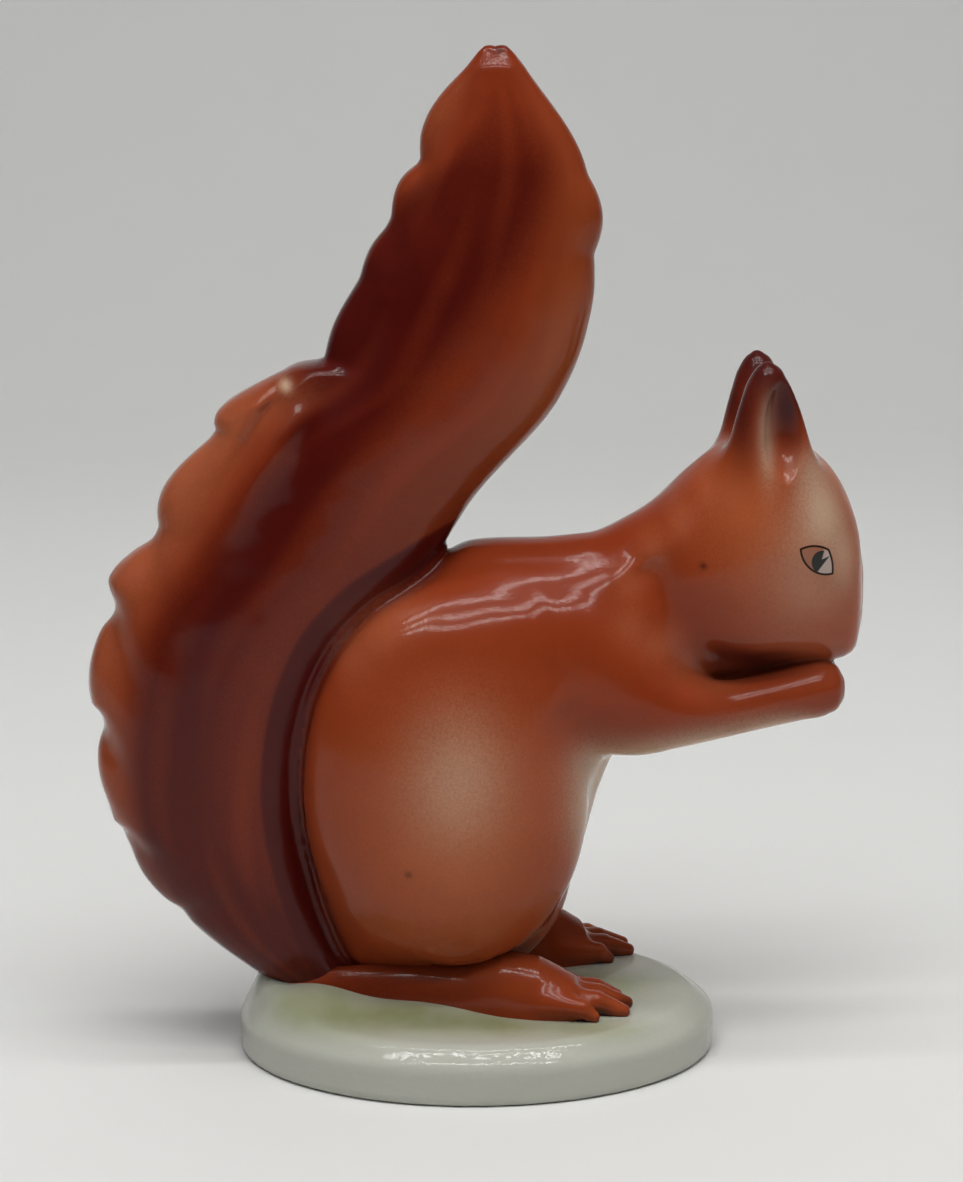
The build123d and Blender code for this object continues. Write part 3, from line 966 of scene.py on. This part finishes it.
for side, name in ((-1, "right"), (1, "left")):
    shift, splay, rise, (lowY, highY) = foot[name]
    heel = (foot["heel"][0] + shift, side * foot["heel"][1])
    ball = (foot["ball"][0] + shift, side * (foot["ball"][1] + splay))
    plot = Block((-36.0, lowY, ground - 1.6), (34.0, highY, ground + 12.0), foot["step"])
    _, spots, outward, faces = skinOf(footField(plot, heel, ball, rise), plot)
    node = "hind_foot_" + name
    dress(node + "_skin", spots, outward, faces, walled, [node], "body_glaze", furGlaze)


plinth = {
    "Length": (plinthHigh.x - plinthLow.x) / mm,
    "Width": (plinthHigh.y - plinthLow.y) / mm,
    "Height": ground,
    "Shoulder": 2.7,
    "Rounding": 2.4,
    "Foot Edge": 1.0,
    "Ring": 4.5,
    "Recess": 4.4,
    "Around": 220,
    "Fineness": 0.6,
    # glaze drawn up round the feet and the tail: x, y, reach along x, reach along y, height
    "swells": [
        (-34, 0, 4, 7, 3.4),
        (-25, -7, 9, 7, 3.2),
        (-8, -11, 11, 6, 1.8),
        (-25, 7, 9, 7, 3.2),
        (-8, 11, 11, 6, 1.8),
        (20, 0, 9, 14, 0.3),
    ],
    # green wash: x, y, reach along x, reach along y, strength
    "wash": [
        (-25, -12, 10, 6, 0.85),
        (-12, -15.5, 13, 5.4, 0.85),
        (2, -17.5, 13, 5, 0.8),
        (17, -19, 9, 4, 0.6),
        (19, -1, 9, 8, 0.95),
        (-20, 12, 16, 9, 0.8),
        (4, 20, 14, 5, 0.7),
    ],
    "white": tone(182, 183, 173),
    "ivory": tone(175, 175, 162),
    "olive": tone(133, 137, 97),
    "edge": 2.6,  # wash and swells fade out over this height below the top
}


def plinthTree():
    # half a section with rounded corners, swept round a circle and stretched into an oval
    tree = bpy.data.node_groups.new("plinth", "GeometryNodeTree")
    sizes = ("Length", "Width", "Height", "Shoulder", "Rounding", "Foot Edge", "Ring", "Recess", "Fineness")
    for label in sizes:
        tree.interface.new_socket(label, in_out="INPUT", socket_type="NodeSocketFloat")
    tree.interface.new_socket("Around", in_out="INPUT", socket_type="NodeSocketInt")
    tree.interface.new_socket("Material", in_out="INPUT", socket_type="NodeSocketMaterial")
    tree.interface.new_socket("Geometry", in_out="OUTPUT", socket_type="NodeSocketGeometry")
    graph = Graph(tree)
    given = graph.put("NodeGroupInput", {}, {}).socket.node.outputs
    size = {socket.name: Wire(graph, socket) for socket in given}
    inmost, inner = size["Width"] * -0.5, size["Ring"] * -1
    top, recess = size["Height"] * -1, size["Recess"] * -1  # the sweep turns the section upside down
    corners = [
        (inmost, top, 0.0),
        (size["Shoulder"] * -1, top, size["Rounding"]),
        (0.0, top + size["Shoulder"], size["Rounding"]),
        (0.0, 0.0, size["Foot Edge"]),
        (inner, 0.0, size["Foot Edge"]),
        (inner, recess, size["Foot Edge"]),
        (inmost, recess, 0.0),
    ]
    index = graph.put("GeometryNodeInputIndex", {}, {})

    def perCorner(kind, values):
        node = graph.nodes.new("GeometryNodeIndexSwitch")
        node.data_type = kind
        while len(node.index_switch_items) < len(values):
            node.index_switch_items.new()
        graph.fill(node, {0: index, **{i + 1: value for i, value in enumerate(values)}})
        return Wire(graph, node.outputs[0])

    spots = [graph.put("ShaderNodeCombineXYZ", {}, {0: x, 1: y, 2: 0.0}) for x, y, _ in corners]
    line = graph.put("GeometryNodeMeshLine", {}, {"Count": len(corners)})
    line = graph.put("GeometryNodeMeshToCurve", {}, {0: line})
    place, radius = perCorner("VECTOR", spots), perCorner("FLOAT", [corner[2] for corner in corners])
    line = graph.put("GeometryNodeSetPosition", {}, {"Geometry": line, "Position": place})
    rounding = {"Curve": line, "Radius": radius, "Count": 10}
    line = graph.put("GeometryNodeFilletCurve", {"mode": "POLY"}, rounding)
    spacing = {"Curve": line, "Length": size["Fineness"]}
    line = graph.put("GeometryNodeResampleCurve", {"mode": "LENGTH"}, spacing)
    around = {"Resolution": size["Around"], "Radius": size["Width"] * 0.5}
    ring = graph.put("GeometryNodeCurvePrimitiveCircle", {}, around)
    ring = graph.put("GeometryNodeSetCurveNormal", {"mode": "Z_UP"}, {0: ring})
    body = graph.put("GeometryNodeCurveToMesh", {}, {"Curve": ring, "Profile Curve": line})
    stretch = graph.put("ShaderNodeCombineXYZ", {}, {0: size["Length"] / size["Width"], 1: 1.0, 2: 1.0})
    body = graph.put("GeometryNodeTransform", {}, {"Geometry": body, "Scale": stretch})
    body = graph.put("GeometryNodeMergeByDistance", {}, {"Geometry": body, "Distance": 0.02})
    body = graph.put("GeometryNodeRealizeInstances", {}, {"Geometry": body})
    body = graph.put("GeometryNodeSetMaterial", {}, {"Geometry": body, "Material": size["Material"]})
    out = graph.nodes.new("NodeGroupOutput")
    graph.fill(out, {0: body})
    return tree


def fromTree(name, tree, values):
    # runs a geometry tree once and keeps its plain mesh
    piece = bpy.data.objects.new(name, bpy.data.meshes.new(name))
    bpy.context.scene.collection.objects.link(piece)
    modifier = piece.modifiers.new(name, "NODES")
    modifier.node_group = tree
    for item in tree.interface.items_tree:
        if item.in_out == "INPUT":
            modifier[item.identifier] = values[item.name]
    mesh = bpy.data.meshes.new_from_object(piece.evaluated_get(bpy.context.evaluated_depsgraph_get()))
    piece.modifiers.clear()
    piece.data = mesh
    return piece


def plinthGlaze():
    finish = Finish("plinth_glaze")
    wash, _, _ = finish.masks("wash")
    streak = finish.noise(150.0, 2.0)
    color = finish.mix(finish.noise(40.0) * 0.5, plinth["white"], plinth["ivory"])
    share = (wash * (streak * 0.8 + 0.6)).clamped()
    color = finish.mix(share, color, plinth["olive"])
    ripple = finish.noise(120.0, 1.0) * 0.5 + finish.noise(1100.0, 1.0) * 0.1
    bump = finish.put("ShaderNodeBump", {}, {"Height": ripple, "Distance": 0.001, "Strength": 0.4})
    finish.fill(finish.shader, {
        "Base Color": color,
        "Roughness": 0.1,
        "Specular IOR Level": 0.3,
        "Normal": bump,
    })
    return finish.material


def cloud(points, x, y, reachX, reachY):
    return np.exp(-(((points[:, 0] - x) / reachX) ** 2) - ((points[:, 1] - y) / reachY) ** 2)


def buildPlinth():
    values = {**plinth, "Material": plinthGlaze()}
    piece = fromTree("plinth_skin", plinthTree(), values)
    mesh = piece.data
    points = np.empty(len(mesh.vertices) * 3)
    mesh.vertices.foreach_get("co", points)
    points = points.reshape(-1, 3)
    print("plinth lies between", points.min(0).round(2), "and", points.max(0).round(2))
    onTop = np.clip((points[:, 2] - plinth["Height"] + plinth["edge"]) / plinth["edge"], 0, 1)
    for *spot, rise in plinth["swells"]:
        points[:, 2] += onTop * rise * cloud(points, *spot)
    wash = np.zeros(len(points))
    for *spot, strength in plinth["wash"]:
        wash = 1 - (1 - wash) * (1 - strength * cloud(points, *spot))
    layer = mesh.attributes.new("wash", "FLOAT_COLOR", "POINT")
    rgba = np.zeros((len(points), 4), np.float32)
    rgba[:, 0], rgba[:, 3] = wash * onTop, 1
    layer.data.foreach_set("color", rgba.ravel())
    mesh.vertices.foreach_set("co", (points * mm).astype(np.float32).ravel())
    mesh.polygons.foreach_set("use_smooth", np.ones(len(mesh.polygons), bool))
    mesh.update()
    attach(piece, "root")
    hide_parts("base_plinth")


buildPlinth()
print("plinth built")


# stage: a pale floor that sweeps up into a wall
stage = {
    "width": 8.0,
    "front": -5.0,
    "bend": 0.55,
    "radius": 0.5,
    "height": 2.0,
    "shade": tone(220, 220, 218),
    "mottle": tone(200, 200, 198),
    "far": (1.15, 1.9),  # from here on the camera sees a plain pale background
    "glow": 0.75,
}


def sweep():
    bend, radius = stage["bend"], stage["radius"]
    profile = [(stage["front"], 0.0), (bend, 0.0)]
    for i in range(1, 17):
        turn = math.pi / 2 * i / 16
        profile.append((bend + radius * math.sin(turn), radius * (1 - math.cos(turn))))
    profile.append((bend + radius, stage["height"]))
    points, faces = [], []
    for y, z in profile:
        points += [(-stage["width"] / 2, y, z), (stage["width"] / 2, y, z)]
    for i in range(len(profile) - 1):
        faces.append(np.array((2 * i, 2 * i + 1, 2 * i + 3, 2 * i + 2)))
    mesh = newMesh("sweep", np.array(points), faces)
    paper = Finish("paper")
    shade = paper.mix(paper.noise(40.0) * 0.1, stage["shade"], stage["mottle"])
    paper.fill(paper.shader, {"Base Color": shade, "Roughness": 0.9})
    away = paper.put("ShaderNodeVectorMath", {"operation": "LENGTH"}, {0: paper.place()}, "Value")
    seen = paper.put("ShaderNodeLightPath", {}, {}, "Is Camera Ray")
    pale = paper.put("ShaderNodeEmission", {}, {"Color": stage["shade"], "Strength": stage["glow"]})
    share = paper.smooth(away, *stage["far"]) * seen
    matt = Wire(paper, paper.shader.outputs[0])
    both = paper.put("ShaderNodeMixShader", {}, {0: share, 1: matt, 2: pale})
    paper.fill(paper.nodes["Material Output"], {"Surface": both})
    mesh.materials.append(paper.material)
    floor = bpy.data.objects.new("sweep", mesh)
    bpy.context.scene.collection.objects.link(floor)


sweep()

light = {
    "ceiling": 0.006,
    "front": 0.0015,
    "sides": 0.06,  # two tall windows, left and right
    "behind": 0.025,
    "background": 0.5,
    "strips": [(-0.06, 1.1), (-0.34, 1.06), (-0.58, 0.98)],  # y, z of each ceiling tube
    "stripPower": 3.3,
    "stripSize": (0.95, 0.055),
    # place, size and power of each
    "softbox": [
        ((-0.7, -0.9, 1.3), 1, 3.4),
        ((0.9, -0.5, 1), 1, 2.6),
        ((0, 0.3, 1.6), 1.4, 4.8),
    ],
}


def lighting():
    world = bpy.data.worlds.new("room")
    bpy.context.scene.world = world
    world.use_nodes = True
    sky = Graph(world.node_tree)
    way = sky.put("ShaderNodeTexCoord", {}, {}, "Generated")
    parts = sky.put("ShaderNodeSeparateXYZ", {}, {0: way}).socket.node.outputs
    x, y, z = (Wire(sky, part) for part in parts)
    up = sky.smooth(z, 0.2, 0.9) * (light["ceiling"] - light["front"])
    pane = sky.smooth(z, 0.05, 0.2) * (1 - sky.smooth(z, 0.8, 0.95))
    aside = sky.smooth(x.maths("ABSOLUTE"), 0.5, 0.72) * pane * light["sides"]
    behind = sky.smooth(y, 0.1, 0.7) * light["behind"]
    seen = sky.put("ShaderNodeLightPath", {}, {}, "Is Camera Ray")
    level = up + aside + behind + light["front"]
    strength = level * (1 - seen) + seen * light["background"]
    sky.fill(sky.nodes["Background"], {"Color": (1, 1, 1, 1), "Strength": strength})
    for y, z in light["strips"]:
        lamp = bpy.data.lights.new("tube", "AREA")
        lamp.shape, lamp.energy = "RECTANGLE", light["stripPower"]
        lamp.size, lamp.size_y = light["stripSize"]
        tube = bpy.data.objects.new("tube", lamp)
        tube.location = (0, y, z)
        tube.rotation_euler = (-math.atan2(y, z), 0, 0)
        bpy.context.scene.collection.objects.link(tube)
    for spot, size, power in light["softbox"]:
        lamp = bpy.data.lights.new("softbox", "AREA")
        lamp.size, lamp.energy = size, power
        box = bpy.data.objects.new("softbox", lamp)
        box.location = spot
        box.rotation_euler = (Vector((0, 0, 0.06)) - box.location).to_track_quat("-Z", "Y").to_euler()
        box.visible_glossy = False  # soft light without its own square reflection
        bpy.context.scene.collection.objects.link(box)


lighting()

view = {"target": (0.00069, 0.0, 0.07179), "distance": 0.46, "pitch": 12.0, "turn": 2.0, "focal": 92.47}


def aim():
    pitch, turn = math.radians(view["pitch"]), math.radians(view["turn"])
    ahead = Vector((math.sin(turn) * math.cos(pitch), math.cos(turn) * math.cos(pitch), -math.sin(pitch)))
    data = bpy.data.cameras.new("view")
    data.lens, data.sensor_width, data.clip_start = view["focal"], 36.0, 0.01
    camera = bpy.data.objects.new("view", data)
    camera.location = Vector(view["target"]) - ahead * view["distance"]
    camera.rotation_euler = ahead.to_track_quat("-Z", "Y").to_euler()
    bpy.context.scene.collection.objects.link(camera)
    bpy.context.scene.camera = camera


aim()
print("stage, light and camera set")
bpy.context.scene.view_settings.view_transform = "Standard"
